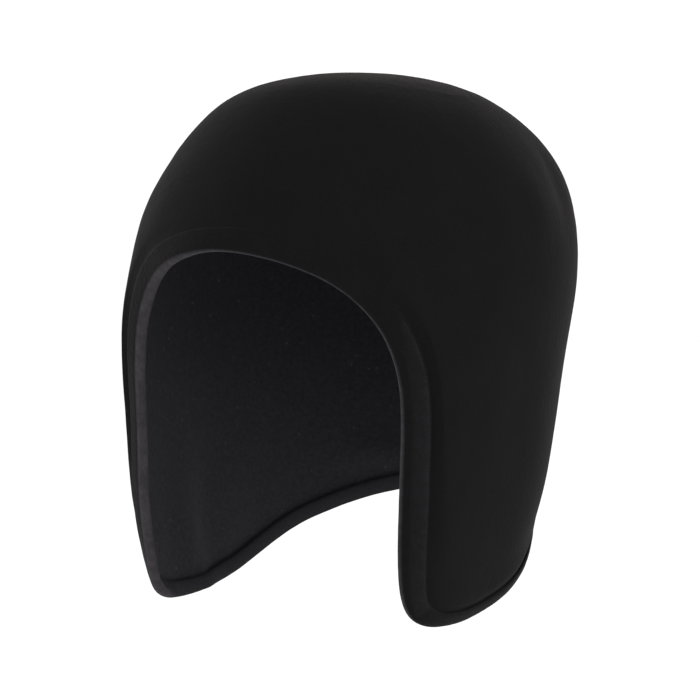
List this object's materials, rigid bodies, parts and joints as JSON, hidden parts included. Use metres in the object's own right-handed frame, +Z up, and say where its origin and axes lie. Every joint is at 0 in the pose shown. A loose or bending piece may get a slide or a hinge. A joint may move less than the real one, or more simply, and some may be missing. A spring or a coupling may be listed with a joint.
{
  "type": "cycling cap",
  "caption": "Under-helmet cycling cap in dark fleece, with ear covers, a face arch in a wide rolled hem and no peak, shaped as worn.",
  "frame": {"origin": "inside top of the crown, where the cap rests on the top of the head", "axes": "+Z up through the crown, -Y towards the face, +X towards the wearer's left ear"},
  "size_m": [0.166, 0.1818, 0.2024],
  "materials": {
    "fleece": "matt, smooth outer face and brushed inner face",
    "hem_fleece": "matt, folded and sewn"
  },
  "bodies": {
    "root": {"crown": "fleece", "face_band": "hem_fleece", "neck_band": "hem_fleece"}
  },
  "joints": []
}
